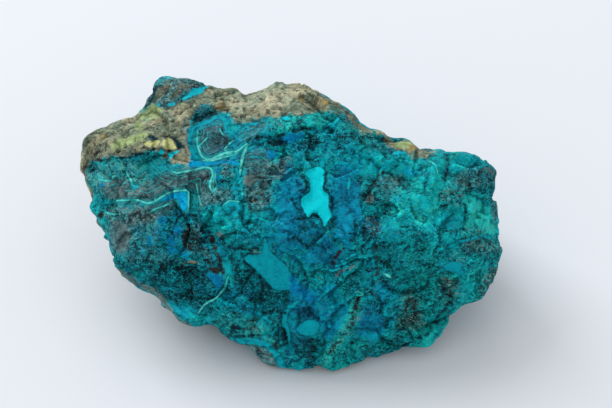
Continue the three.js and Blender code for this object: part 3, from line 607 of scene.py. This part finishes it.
CRUMBLY_RUSTY = 0.08
FLECK_PATCHES = -0.35  # how unevenly the dark flecks are spread
CRUST_EDGE = (-1.5, 1.5)
LICHEN_STOPS = (0.36, 0.5, 0.64)
LICHEN_EDGE = (0.38, 0.56)
CRUST_STAINS = [("cloud", (0.58, 0.66, 0.6), (36, 100, 94)), ("crumb", (0.16, 0.04, 0.7), (36, 38, 30))]
Rim = namedtuple("Rim", "mark channel fray edge colour")
RIMS = [
    Rim("window", 0, 1.2, (-4.0, -0.8, 0.35), (3, 40, 52)),
    Rim("vein", 0, 1.2, (-2.8, -0.8, 0.35), (3, 40, 52)),
    Rim("pool", 0, 1.2, (-2.2, -0.8, 0.35), (3, 40, 52)),
    Rim("vein", 1, 0.6, (-1.4, -0.3, 0.85), (8, 154, 156)),
]
# Painted shade darkens the hollows of the surface, and raised edges are made lighter
HOLLOW_SHADE_RANGE = (-0.1, -1.0, 0.55)
HOLLOW_SHADE_COLOUR = (70, 92, 100)
RAISED_EDGE_RANGE = (0.2, 1.0, 0.7)
RAISED_EDGE_LIGHTENING = [1.36, 1.36, 1.34, 1.0]
DULLNESS = (0.3, 0.5)  # the change with the grain, and the least
BUMP_MOTTLE = 0.6
BUMP_STRENGTH = 0.25
BUMP_HEIGHT = 0.15 * MM
SHINE = 0.06

# The broken surface
BODY_STEP = 0.63 * MM  # edge length of the mesh; half of it on the showy face
SMOOTHING_ROUNDS = 4
TURNED_ROUNDS = 2  # the extra smoothing of the sides that turn away
TURNED_RANGE = (0.1, 0.5)
FACING_RANGE = (-0.12, 0.08)  # how squarely a surface looks at the eye where drawn marks fade in
AWAY_RANGE = (-0.05, -0.5)  # and where the hidden sides' own broken shape does
BASE_MARGIN = 1.2 * MM  # height over which the roughness fades in above the flat resting face
Roughness = namedtuple("Roughness", "size height octaves seed")
CRUMBLY = Roughness(1.8, 0.09, 3, 17.1)
GRAIN = Roughness(0.7, 0.04, 2, 29.9)
CRUST_GRAIN = Roughness(0.9, 0.06, 3, 43.3)
HIDDEN_BROKEN = Roughness(7.0, 0.6, 4, 71.7)
Chips = namedtuple("Chips", "size slope seed")
LARGE_CHIPS = Chips(6.5, 0.1, 4)
SMALL_CHIPS = Chips(2.2, 0.1, 9)
HIDDEN_CHIPS = Chips(8.0, 0.2, 14)
HIDDEN_RISE = 0.4  # how far the hidden sides stand out at most
PIT_DEPTH = 0.25
RUBBLE_RISE = (-6, 4)  # pixels inside a mark over which its relief fades in
CRUST_RISE = (-2, 4)
PIT_FALL = (-1.5, 2.5)
GLASSY_EDGE = (-1, 2)
GLASSY_SMOOTHNESS = 0.96  # how much of the fine roughness the turquoise patches lack
CHIP_NEIGHBOURS = 6  # planes that meet near a place
CHIP_CURVE = 0.12  # how far a facet curls up at its edges, as a share of its slope
SURROUNDINGS_REACH = 14  # smoothing rounds between the surface and what it is compared with
EDGE_FULL_HEIGHT = 0.16  # mm above its surroundings at which an edge is lightened fully, and below them at which a hollow's painted shade is full

# Light
SKY_STRENGTH = 0.72
SKY_COLOUR = (0.975, 0.985, 1.0)
Lamp = namedtuple("Lamp", "place side power")
LAMPS = [
    Lamp(Vector((-0.8, 0.8, 1.0)), 0.8, 12.0),
    Lamp(Vector((-0.2, 0.95, 1.2)), 0.8, 4.0),
]
FLOOR_SIDE = 6.0
FLOOR_COLOUR = (222, 226, 232)


def srgb(colour):
    """A screen colour as linear light, opaque."""
    shares = [channel / 255 for channel in colour]
    return [s / 12.92 if s <= 0.04045 else ((s + 0.055) / 1.055) ** 2.4 for s in shares] + [1.0]


def smoothstep(low, high, value):
    share = np.clip((value - low) / (high - low), 0, 1)
    return share * share * (3 - 2 * share)


# Drawn marks as distances
def smooth_curve(points, closed):
    """A smooth curve through drawn points, as closely spaced points."""
    p = np.array(points, float)
    ends = (p[-1:], p[:2]) if closed else (2 * p[:1] - p[1:2], 2 * p[-1:] - p[-2:-1])
    p = np.vstack([ends[0], p, ends[1]])
    before, start, end, after = p[:-3], p[1:-2], p[2:-1], p[3:]
    curve = []
    for t in (0, 0.25, 0.5, 0.75):
        curve.append(0.5 * (2 * start + (end - before) * t
                            + (2 * before - 5 * start + 4 * end - after) * t ** 2
                            + (3 * start - before - 3 * end + after) * t ** 3))
    curve = np.stack(curve, 1).reshape(-1, 2)
    return np.vstack([curve, curve[:1] if closed else p[-2:-1]])


def beside(curve, at):
    """How far each point is from the curve, on which side (-1 or 1), and how far along, from 0 to 1."""
    nearest = np.full(len(at), np.inf)
    side, along = np.ones(len(at)), np.zeros(len(at))
    for index, (start, step) in enumerate(zip(curve[:-1], np.diff(curve, axis=0))):
        share = np.clip((at - start) @ step / max(step @ step, 1e-9), 0, 1)
        gap = at - start - share[:, None] * step
        distance = np.hypot(gap[:, 0], gap[:, 1])
        nearer = distance < nearest
        nearest[nearer] = distance[nearer]
        side[nearer] = np.sign(step[0] * gap[nearer, 1] - step[1] * gap[nearer, 0])
        along[nearer] = (index + share[nearer]) / (len(curve) - 1)
    return nearest, side, along


def distance_to(curve, at):
    return beside(curve, at)[0]


def is_inside(curve, at):
    """Whether each point is inside the closed curve."""
    inside = np.zeros(len(at), bool)
    for (x0, y0), (x1, y1) in zip(curve[:-1], curve[1:]):
        if y0 != y1:
            crossed = (y0 > at[:, 1]) != (y1 > at[:, 1])
            inside ^= crossed & (at[:, 0] < x0 + (at[:, 1] - y0) * (x1 - x0) / (y1 - y0))
    return inside


def near(curve, at):
    """The points that are close enough to the curve to matter."""
    return ((at > curve.min(0) - FAR) & (at < curve.max(0) + FAR)).all(1)


def patch_depth(points, at):
    """How far inside a patch each point is: negative outside it."""
    curve = smooth_curve(points, True)
    depth = np.full(len(at), -FAR)
    close = near(curve, at)
    distance = distance_to(curve, at[close])
    depth[close] = np.where(is_inside(curve, at[close]), distance, -distance)
    return depth


def stroke_depth(width, points, at):
    curve = smooth_curve(points, False)
    depth = np.full(len(at), -FAR)
    close = near(curve, at)
    depth[close] = width / 2 - distance_to(curve, at[close])
    return depth


def drawn_depths(at):
    """For each pigment, how far inside its drawn marks each point is."""
    depths = {}
    for name in (*PIGMENTS, "rubble"):
        depth = np.full(len(at), -FAR)
        for points in PATCHES.get(name, {}).values():
            depth = np.maximum(depth, patch_depth(points, at))
        for width, points in STROKES.get(name, {}).values():
            depth = np.maximum(depth, stroke_depth(width, points, at))
        depths[name] = depth
    return depths


def drawn_veins(at):
    """How far each point is across the nearest vein, negative on one side, and half the vein's width."""
    best = np.full(len(at), -FAR)
    across, half_width = np.full(len(at), FAR), np.zeros(len(at))
    for width, points in STROKES["vein"].values():
        curve = smooth_curve(points, False)
        close = np.flatnonzero(near(curve, at))
        distance, side, along = beside(curve, at[close])
        half = width / 2 * (TAPER + (1 - TAPER) * np.sqrt(np.sin(math.pi * along)))
        better = half - distance > best[close]
        chosen = close[better]
        best[chosen] = (half - distance)[better]
        across[chosen], half_width[chosen] = (side * distance)[better], half[better]
    return across, half_width


def drawn_washes(at):
    """How much lighter, bluer and greyer each point is made by the washes, and how calm it is."""
    totals = np.zeros((4, len(at)))
    for wash in WASHES.values():
        share = smoothstep(-wash.softness, wash.softness, patch_depth(wash.outline, at))
        totals[:3] += np.outer((wash.light, wash.blue, wash.grey), share)
        if wash.calm:
            totals[3] = np.maximum(totals[3], share)
    return dict(zip(("lightness", "blueness", "greyness", "calm"), totals))


def drawn_bands(at):
    """How strongly each point is banded, and how many bands away from the guide lines it is."""
    strength = np.zeros(len(at))
    for amount, area in BANDED:
        strength = np.maximum(strength, amount * smoothstep(*BAND_EDGE, patch_depth(area, at)))
    distance = np.full(len(at), BAND_REACH)
    close = strength > 0
    for guide in BAND_GUIDES:
        distance[close] = np.minimum(distance[close], distance_to(smooth_curve(guide, False), at[close]))
    return strength, distance / BAND_SPACING


# Marks that are grown on the sides that the showy face doesn't have
def field(places, kind):
    """A smooth random number from about -1 to 1 at each place, in millimetres."""
    offset = Vector((kind.seed, kind.seed * 0.7, -kind.seed))
    spots = [Vector(place) / kind.size + offset for place in places]
    return np.array([noise.fractal(spot, 1.0, 2.0, kind.octaves) for spot in spots])


def grown_veins(places):
    """How far each place is across the nearest grown vein, in pixels, negative on one side."""
    sheets = places @ VEIN_SLOPE / VEIN_GAP + VEIN_WANDER * field(places, SHEET_FIELD)
    return np.sin(math.pi * sheets) * VEIN_GAP / math.pi / (PIXEL / MM)


def grown(values, growth):
    return growth.slope * (values - growth.threshold)


def grown_depths(places):
    """For each pigment, how far inside its grown marks each place is."""
    matrix = field(places, CRUST_FIELD) - CRUST_TREND * places[:, 0]
    stains = field(places, STAIN_FIELD)
    pools = field(places, POOL_FIELD)
    unveined = smoothstep(*UNVEINED, field(places, UNVEINED_FIELD))
    depths = {name: np.full(len(places), -FAR) for name in PIGMENTS}
    depths["crust"] = grown(matrix, GROWN_CRUST)
    depths["olive"] = grown(matrix, GROWN_OLIVE) + grown(stains, OLIVE_STAIN)
    depths["black"] = GROWN_CRACK - CRACK_SLOPE * np.abs(field(places, CRACK_FIELD))
    hidden = np.maximum(depths["crust"], 0) + FAR * unveined
    depths["vein"] = GROWN_VEIN - np.abs(grown_veins(places)) - hidden
    depths["pool"] = grown(pools, GROWN_POOL)
    depths["rust"] = grown(-pools, GROWN_POOL)
    depths["rubble"] = grown(-stains, GROWN_RUBBLE)
    return depths


def grown_washes(places):
    return {
        "lightness": GROWN_LIGHT * field(places, TONE_FIELD) - GROWN_SHADE,
        "blueness": GROWN_BLUE * field(places, HUE_FIELD),
        "greyness": np.clip(GROWN_GREY * field(places, DULL_FIELD), 0, GREYEST),
        "calm": smoothstep(*GROWN_CALM, field(places, CALM_FIELD)),
    }


# The mesh
def arrays_of(mesh):
    """The mesh's vertex places, its vertex normals and the vertex pairs of its edges."""
    count = len(mesh.vertices)
    places, normals = np.empty(3 * count), np.empty(3 * count, np.float32)
    pairs = np.empty(2 * len(mesh.edges), np.int32)
    mesh.vertices.foreach_get("co", places)
    mesh.vertex_normals.foreach_get("vector", normals)
    mesh.edges.foreach_get("vertices", pairs)
    return places.reshape(-1, 3), normals.reshape(-1, 3).astype(float), pairs.reshape(-1, 2)


def smoothed(values, pairs, rounds):
    """Values on the vertices, evened out with their neighbours' several times."""
    count = len(values)
    a, b = pairs.T
    neighbours = np.bincount(a, minlength=count) + np.bincount(b, minlength=count)
    for _ in range(rounds):
        totals = [np.bincount(a, row[b], count) + np.bincount(b, row[a], count) for row in values.T]
        values = 0.5 * values + 0.5 * np.stack(totals, 1) / neighbours[:, None]
    return values


def facing(places, normals):
    """How squarely each place looks at the eye: 1 straight on, 0 edge on, negative if turned away."""
    sight = np.array(EYE) - places
    return (normals * sight).sum(1) / np.linalg.norm(sight, axis=1)


def even_mesh(node):
    """A new object with the node's shape in an even mesh."""
    mesh = node.data.copy()
    mesh.materials.clear()
    piece = bpy.data.objects.new("specimen", mesh)
    bpy.context.scene.collection.objects.link(piece)
    remesh = piece.modifiers.new("even", "REMESH")
    remesh.mode = "VOXEL"
    remesh.voxel_size = BODY_STEP
    graph = bpy.context.evaluated_depsgraph_get()
    piece.data = bpy.data.meshes.new_from_object(piece.evaluated_get(graph))
    piece.modifiers.clear()
    places, _, pairs = arrays_of(piece.data)
    piece.data.vertices.foreach_set("co", smoothed(places, pairs, SMOOTHING_ROUNDS).ravel())
    piece.data.update()
    return piece


def refine_face(mesh):
    """Halves the mesh's edges wherever it looks at the eye."""
    places, normals, pairs = arrays_of(mesh)
    seen = facing(places, smoothed(normals, pairs, SMOOTHING_ROUNDS)) > 0
    work = bmesh.new()
    work.from_mesh(mesh)
    work.edges.ensure_lookup_table()
    chosen = [edge for edge in work.edges if seen[edge.verts[0].index] and seen[edge.verts[1].index]]
    bmesh.ops.subdivide_edges(work, edges=chosen, cuts=1, use_grid_fill=True)
    bmesh.ops.triangulate(work, faces=[face for face in work.faces if len(face.verts) > 4])
    work.to_mesh(mesh)
    work.free()
    mesh.update()


def pixels_of(places):
    """Where each place shows in the picture."""
    offset = places - np.array(FACE_MIDDLE)
    scale = SIGHT_DISTANCE / (SIGHT_DISTANCE - offset @ np.array(TOWARDS))
    across = offset @ np.array(RIGHT) * scale / PIXEL
    above = offset @ np.array(UP) * scale / PIXEL
    return np.stack([FACE_PIXEL[0] + across, FACE_PIXEL[1] - above], 1)


def wandered(at, places):
    """Points of the picture, moved a little as natural edges wander."""
    for size, reach in WANDERS:
        moves = [noise.noise_vector(Vector(place) / size) for place in places]
        at = at + reach * np.array(moves)[:, :2]
    return at


def rough(places, kind):
    """Creased roughness in millimetres: sharp valleys between rounded bumps, about 0 on average."""
    offset = Vector((kind.seed, -kind.seed, kind.seed * 0.3))
    spots = [Vector(place) / kind.size + offset for place in places]
    heights = np.array([noise.turbulence(spot, kind.octaves, True) for spot in spots])
    return kind.height * (heights - heights.mean()) * 2


def chipped(places, kind):
    """Flat broken facets in millimetres: each place lies on the lowest of the planes near it."""
    random = np.random.default_rng(kind.seed)
    low, high = places.min(0) - kind.size, places.max(0) + kind.size
    count = int(np.prod((high - low) / kind.size))
    centres = random.uniform(low, high, (count, 3))
    tilts = random.normal(0, kind.slope, (count, 3))
    tree = KDTree(count)
    for index, centre in enumerate(centres):
        tree.insert(centre, index)
    tree.balance()
    found = [tree.find_n(place, CHIP_NEIGHBOURS) for place in places]
    nearest = np.array([[index for _, index, _ in planes] for planes in found])
    gaps = places[:, None] - centres[nearest]
    reach = np.linalg.norm(gaps, axis=2)
    heights = ((gaps * tilts[nearest]).sum(2) + CHIP_CURVE * kind.slope * reach ** 2 / kind.size).min(1)
    return heights - heights.mean()


def broken_relief(places, away, glassy):
    """How far each place stands out of the smooth solid as it broke, in millimetres."""
    height = chipped(places, LARGE_CHIPS) + chipped(places, SMALL_CHIPS) + rough(places, GRAIN)
    hidden = rough(places, HIDDEN_BROKEN) + chipped(places, HIDDEN_CHIPS)
    return height * (1 - GLASSY_SMOOTHNESS * glassy) + np.minimum(hidden, HIDDEN_RISE) * away


def marked_relief(places, depths):
    """How far the crumbs, the crust and the dark pits stand out or are sunk, in millimetres."""
    height = rough(places, CRUMBLY) * smoothstep(*RUBBLE_RISE, depths["rubble"])
    height += rough(places, CRUST_GRAIN) * smoothstep(*CRUST_RISE, depths["crust"])
    return height - PIT_DEPTH * smoothstep(*PIT_FALL, depths["black"])


def store(mesh, name, values):
    attribute = mesh.attributes.new(name, "FLOAT", "POINT")
    attribute.data.foreach_set("value", values.astype(np.float32))


def make_specimen():
    piece = even_mesh(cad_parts["chrysocolla_rock"])
    mesh = piece.data
    refine_face(mesh)
    places, normals, pairs = arrays_of(mesh)
    broad_normals = smoothed(normals, pairs, SMOOTHING_ROUNDS)
    squareness = facing(places, broad_normals)
    drawn, away = smoothstep(*FACING_RANGE, squareness), smoothstep(*AWAY_RANGE, squareness)
    above_base = smoothstep(0, BASE_MARGIN, places[:, 2])
    patches = [*PATCHES["window"].values(), *PATCHES["pool"].values()]
    at = pixels_of(places)
    glassy = smoothstep(*GLASSY_EDGE, np.max([patch_depth(points, at) for points in patches], 0))
    places = places + normals * (broken_relief(places / MM, away, glassy) * above_base * MM)[:, None]
    turned = above_base * (1 - smoothstep(*TURNED_RANGE, squareness))
    places = places + (smoothed(places, pairs, TURNED_ROUNDS) - places) * turned[:, None]

    millimetres = places / MM
    at = wandered(pixels_of(places), millimetres)
    depths, washes = drawn_depths(at), drawn_washes(at)
    for drawings, growths in ((depths, grown_depths(millimetres)), (washes, grown_washes(millimetres))):
        for name, growth in growths.items():
            drawings[name] = growth + drawn * (drawings[name] - growth)
    band_strength, band_phase = drawn_bands(at)
    washes["calm"] = np.maximum(washes["calm"], BAND_CALM * band_strength * drawn)
    across, half_width = drawn_veins(at)
    grown_across = grown_veins(millimetres)

    moved = places + normals * (marked_relief(millimetres, depths) * above_base * MM)[:, None]
    moved[:, 2] = np.maximum(moved[:, 2], 0)
    mesh.vertices.foreach_set("co", moved.ravel())
    # How far each place stands above its smoothed surroundings: it sets the painted shade in the hollows
    # and the lighter raised edges
    height_over_surroundings = ((moved - smoothed(moved, pairs, SURROUNDINGS_REACH)) * normals).sum(1) / (EDGE_FULL_HEIGHT * MM)

    for name, values in (*depths.items(), *washes.items()):
        store(mesh, name, values)
    store(mesh, "vein_across", grown_across + drawn * (across - grown_across))
    store(mesh, "vein_half_width", GROWN_VEIN + drawn * (half_width - GROWN_VEIN))
    store(mesh, "banded", band_strength * drawn)
    store(mesh, "band_phase", band_phase)
    store(mesh, "height_over_surroundings", np.clip(height_over_surroundings, -1, 1) * (1 - glassy))
    mesh.shade_smooth()
    mesh.update()
    return piece


# The material
class Shader:
    """Short calls that add a node to a material and give back its output."""

    def __init__(self, name):
        self.material = bpy.data.materials.new(name)
        self.material.use_nodes = True
        self.tree = self.material.node_tree
        self.surface = self.tree.nodes["Principled BSDF"]
        self.place = self.add("ShaderNodeTexCoord", {}).outputs["Object"]

    def add(self, kind, inputs, **settings):
        node = self.tree.nodes.new(kind)
        for name, value in settings.items():
            setattr(node, name, value)
        for name, value in inputs.items():
            self.feed(node.inputs[name], value)
        return node

    def feed(self, socket, value):
        if isinstance(value, bpy.types.NodeSocket):
            self.tree.links.new(value, socket)
        else:
            socket.default_value = value

    def vector(self, operation, a, b, c=(0, 0, 0)):
        return self.add("ShaderNodeVectorMath", {0: a, 1: b, 2: c}, operation=operation).outputs[0]

    def noise(self, size, detail, roughness=0.6, distortion=0.0, output="Fac", stretch=1.0):
        """Noise with features of a size in millimetres, longer along the lump where it is stretched."""
        inputs = {
            "Vector": self.vector("MULTIPLY", self.place, (1 / stretch, 1, 1)), "Scale": 1 / (size * MM),
            "Detail": detail, "Roughness": roughness, "Distortion": distortion,
        }
        return self.add("ShaderNodeTexNoise", inputs).outputs[output]

    def fragments(self, size, warp, reach):
        """Three random numbers for angular fragments of a size in millimetres, with wandering edges."""
        shift = self.vector("ADD", warp, (-0.5, -0.5, -0.5))
        place = self.vector("MULTIPLY_ADD", shift, (reach * MM,) * 3, self.place)
        inputs = {"Vector": place, "Scale": 1 / (size * MM)}
        return self.channels(self.add("ShaderNodeTexVoronoi", inputs).outputs["Color"])

    def channels(self, colour):
        return self.add("ShaderNodeSeparateColor", {"Color": colour}).outputs

    def math(self, operation, a, b=0.0, c=0.0):
        return self.add("ShaderNodeMath", {0: a, 1: b, 2: c}, operation=operation).outputs[0]

    def plus(self, a, b):
        return self.math("ADD", a, b)

    def times(self, a, b):
        return self.math("MULTIPLY", a, b)

    def scaled(self, value, factor, base):
        return self.math("MULTIPLY_ADD", value, factor, base)

    def centred(self, value, share):
        """A noise's share in a sum, 0 on average."""
        return self.scaled(value, share, -0.5 * share)

    def step(self, value, low, high, top=1.0):
        inputs = {"Value": value, "From Min": low, "From Max": high, "To Min": 0.0, "To Max": top}
        return self.add("ShaderNodeMapRange", inputs, interpolation_type="SMOOTHSTEP").outputs["Result"]

    def mix(self, share, a, b, blend="MIX"):
        inputs = {0: share, 6: a, 7: b}
        return self.add("ShaderNodeMix", inputs, data_type="RGBA", blend_type=blend).outputs[2]

    def paint(self, share, colour, screen):
        """A colour with some of a screen colour laid over it."""
        return self.mix(share, colour, srgb(screen))

    def attribute(self, name):
        return self.add("ShaderNodeAttribute", {}, attribute_name=name).outputs["Fac"]

    def ramp(self, value, stops):
        """A colour that follows a value through stops of (value, screen colour)."""
        node = self.add("ShaderNodeValToRGB", {"Fac": value})
        elements = node.color_ramp.elements
        while len(elements) < len(stops):
            elements.new(1.0)
        for element, (position, colour) in zip(elements, stops):
            element.position = position
            element.color = srgb(colour)
        return node.outputs["Color"]


def depth_of(shader, name):
    """How far inside a pigment's marks a point is, in pixels."""
    depth = shader.attribute(name)
    if name == "vein":
        across = shader.math("ABSOLUTE", shader.attribute("vein_across"))
        exact = shader.math("SUBTRACT", shader.attribute("vein_half_width"), across)
        depth = shader.math("MINIMUM", exact, shader.plus(depth, VEIN_LEEWAY))
    return depth


def coat(shader, colour, name, pigment, frays, tone):
    """Lays a pigment over a colour wherever its marks are, with a frayed edge."""
    frayed = shader.scaled(frays, pigment.fray, depth_of(shader, name))
    share = shader.step(frayed, -pigment.softness, pigment.softness)
    paint = shader.ramp(tone, list(zip(PIGMENT_STOPS, (pigment.dark, pigment.middle, pigment.pale))))
    return shader.mix(share, colour, paint)


def even_stops(colours):
    """Stops for a ramp with the colours evenly spaced from 0 to 1."""
    return [(index / (len(colours) - 1), colour) for index, colour in enumerate(colours)]


def stone_colour(shader, noises):
    """The stone's own mottled colour: smooth pale islands among darker, speckled stone."""
    speckled = shader.step(noises["island"], *ISLAND_EDGE)
    tone = shader.scaled(speckled, SPECKLED_SHADE, shader.attribute("lightness"))
    tone = shader.plus(tone, MEAN_TONE)
    for part, share in TONE_PARTS.items():
        tone = shader.plus(tone, shader.centred(noises[part], share))
    contrast = shader.times(shader.scaled(speckled, *SPECKLED_CONTRAST), noises["unrest"])
    for part, share in FINE_PARTS.items():
        tone = shader.scaled(shader.centred(noises[part], share), contrast, tone)
    tone = shader.plus(tone, shader.centred(noises["speck"], SPECK_PART))
    hue = shader.attribute("blueness")
    for part, share in HUE_PARTS.items():
        hue = shader.scaled(noises[part], share, hue)
    hue = shader.math("SUBTRACT", hue, sum(HUE_PARTS.values()) / 2)
    greyness = shader.scaled(noises["frays"][2], GREY_FRAY, shader.attribute("greyness"))
    colour = shader.ramp(tone, even_stops(TEALS))
    for amount, edge, colours in ((hue, BLUE_EDGE, BLUES), (hue, GREEN_EDGE, GREENS),
                                  (greyness, GREY_EDGE, GREYS)):
        colour = shader.mix(shader.step(amount, *edge), colour, shader.ramp(tone, even_stops(colours)))
    return colour


def banding(shader, colour, noises):
    """Fine bright and dark lines of uneven strength, along the veins and round the nodules."""
    phase = shader.scaled(noises["frays"][1], BAND_FRAY, shader.attribute("band_phase"))
    phase = shader.scaled(noises["mottle"], BAND_MOTTLE, phase)
    coarse = shader.math("SINE", shader.times(phase, 2 * math.pi))
    fine = shader.math("SINE", shader.times(phase, 2 * math.pi * FINE_PACE))
    wave = shader.scaled(fine, FINE_SHARE, coarse)
    strength = shader.times(shader.attribute("banded"), shader.step(noises["tint"], *BANDS_SHOWN))
    for edge, paint in BAND_LINES:
        colour = shader.paint(shader.times(shader.step(wave, *edge), strength), colour, paint)
    return colour


def threads(shader, colour, noises):
    """Thin pale and dark threads that wander through the stone."""
    shown = shader.step(noises["tint"], *THREADS_SHOWN)
    for name, middle, paint in THREADS:
        gap = shader.math("ABSOLUTE", shader.math("SUBTRACT", noises[name], middle))
        line = shader.times(shader.step(gap, *THREAD_EDGE), shown)
        colour = shader.paint(shader.times(line, noises["unrest"]), colour, paint)
    return colour


def crumbling(shader, colour, noises):
    """Dark, rusty, pale and bright flecks, more of them where the stone crumbles."""
    unrest = noises["unrest"]
    flecks = shader.channels(shader.noise(**FLECKS, output="Color"))
    rubble = shader.scaled(noises["frays"][0], CRUMBLY_FRAY, shader.attribute("rubble"))
    crumbly = shader.step(rubble, *CRUMBLY_EDGE)
    patchy = shader.plus(flecks[0], shader.centred(noises["island"], FLECK_PATCHES))
    dark = shader.scaled(crumbly, CRUMBLY_DARK, patchy)
    rusty = shader.scaled(crumbly, CRUMBLY_RUSTY, flecks[2])
    for kind, value, share in ((DARK_FLECK, dark, unrest), (RUSTY_FLECK, rusty, 1.0),
                               (PALE_FLECK, flecks[1], crumbly), (BRIGHT_FLECK, flecks[1], unrest)):
        colour = shader.paint(shader.times(shader.step(value, *kind.edge), share), colour, kind.colour)
    return colour


def weathering(shader, colour, noises, tone):
    """The brown and grey-green crust with its paler patches."""
    frays = noises["frays"]
    for index, (name, pigment) in enumerate(UNDERCOATS.items()):
        colour = coat(shader, colour, name, pigment, frays[index % 3], tone)
        if name == "crust":
            depth = shader.scaled(frays[0], pigment.fray, shader.attribute("crust"))
            crusty = shader.step(depth, *CRUST_EDGE)
            greenish = shader.times(crusty, shader.step(noises["tint"], *LICHEN_EDGE))
            colour = shader.mix(greenish, colour, shader.ramp(tone, list(zip(LICHEN_STOPS, LICHENS))))
            for part, edge, paint in CRUST_STAINS:
                stained = shader.times(crusty, shader.step(noises[part], *edge))
                colour = shader.paint(stained, colour, paint)
    return colour


def stone_material():
    shader = Shader("chrysocolla")
    fray = shader.noise(**FRAY, output="Color")
    frays = [shader.centred(channel, FRAY_SPREAD) for channel in shader.channels(fray)]
    noises = {name: shader.noise(**settings) for name, settings in NOISES.items()}
    noises["frays"] = frays
    noises["unrest"] = shader.scaled(shader.attribute("calm"), *UNREST)
    for name, size, reach in FRAGMENTS:
        noises[name], noises[name + "_tint"], _ = shader.fragments(size, fray, reach)
    colour = stone_colour(shader, noises)
    colour = banding(shader, colour, noises)
    colour = threads(shader, colour, noises)
    colour = crumbling(shader, colour, noises)
    tone = shader.times(noises["mottle"], 1 - GRAIN_SHARE)
    tone = shader.scaled(noises["grain"], GRAIN_SHARE, tone)
    crust_tone = shader.scaled(shader.attribute("lightness"), CRUST_LIGHT, tone)
    colour = weathering(shader, colour, noises, crust_tone)

    for rim in RIMS:
        edge = shader.scaled(frays[rim.channel], rim.fray, depth_of(shader, rim.mark))
        colour = shader.paint(shader.step(edge, *rim.edge), colour, rim.colour)
    for index, (name, pigment) in enumerate(TOPCOATS.items()):
        colour = coat(shader, colour, name, pigment, frays[index % 3], tone)

    # Painted shade in the hollows of the surface, and a lighter colour on its raised edges
    height_over_surroundings = shader.attribute("height_over_surroundings")
    colour = shader.mix(shader.step(height_over_surroundings, *HOLLOW_SHADE_RANGE), colour, srgb(HOLLOW_SHADE_COLOUR), "MULTIPLY")
    colour = shader.mix(shader.step(height_over_surroundings, *RAISED_EDGE_RANGE), colour, RAISED_EDGE_LIGHTENING, "MULTIPLY")

    height = shader.scaled(noises["mottle"], BUMP_MOTTLE, noises["grain"])
    relief = {"Strength": BUMP_STRENGTH, "Distance": BUMP_HEIGHT, "Height": height}
    bump = shader.add("ShaderNodeBump", relief)
    looks = {"Base Color": colour, "Roughness": shader.scaled(noises["grain"], *DULLNESS),
             "Normal": bump.outputs["Normal"], "Specular IOR Level": SHINE}
    for name, value in looks.items():
        shader.feed(shader.surface.inputs[name], value)
    return shader.material


# The stage
def add_camera():
    data = bpy.data.cameras.new("camera")
    data.sensor_width = SENSOR
    data.lens = SENSOR * SIGHT_DISTANCE / (PICTURE_WIDTH * PIXEL)
    data.clip_start = 0.01
    camera = bpy.data.objects.new("camera", data)
    bpy.context.scene.collection.objects.link(camera)
    across = (PICTURE_WIDTH / 2 - FACE_PIXEL[0]) * PIXEL
    above = (FACE_PIXEL[1] - PICTURE_HEIGHT / 2) * PIXEL
    aim = FACE_MIDDLE + across * RIGHT + above * UP
    camera.location = EYE
    camera.rotation_euler = (aim - EYE).to_track_quat("-Z", "Y").to_euler()
    bpy.context.scene.camera = camera


def add_floor():
    half = FLOOR_SIDE / 2
    corners = [(-half, -half, 0), (half, -half, 0), (half, half, 0), (-half, half, 0)]
    mesh = bpy.data.meshes.new("floor")
    mesh.from_pydata(corners, [], [(0, 1, 2, 3)])
    material = bpy.data.materials.new("floor")
    material.use_nodes = True
    surface = material.node_tree.nodes["Principled BSDF"]
    surface.inputs["Base Color"].default_value = srgb(FLOOR_COLOUR)
    surface.inputs["Roughness"].default_value = 1.0
    surface.inputs["Specular IOR Level"].default_value = 0.0
    mesh.materials.append(material)
    floor = bpy.data.objects.new("floor", mesh)
    bpy.context.scene.collection.objects.link(floor)


def add_light():
    world = bpy.data.worlds.new("sky")
    world.use_nodes = True
    sky = world.node_tree.nodes["Background"]
    sky.inputs["Color"].default_value = (*SKY_COLOUR, 1.0)
    sky.inputs["Strength"].default_value = SKY_STRENGTH
    bpy.context.scene.world = world
    for lamp in LAMPS:
        data = bpy.data.lights.new("lamp", "AREA")
        data.size = lamp.side
        data.energy = lamp.power
        piece = bpy.data.objects.new("lamp", data)
        piece.location = lamp.place
        piece.rotation_euler = (FACE_MIDDLE - lamp.place).to_track_quat("-Z", "Y").to_euler()
        bpy.context.scene.collection.objects.link(piece)
    bpy.context.scene.view_settings.view_transform = "Standard"


add_camera()
add_floor()
add_light()
specimen = make_specimen()
specimen.data.materials.append(stone_material())
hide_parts("chrysocolla_rock")
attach(specimen, "root")
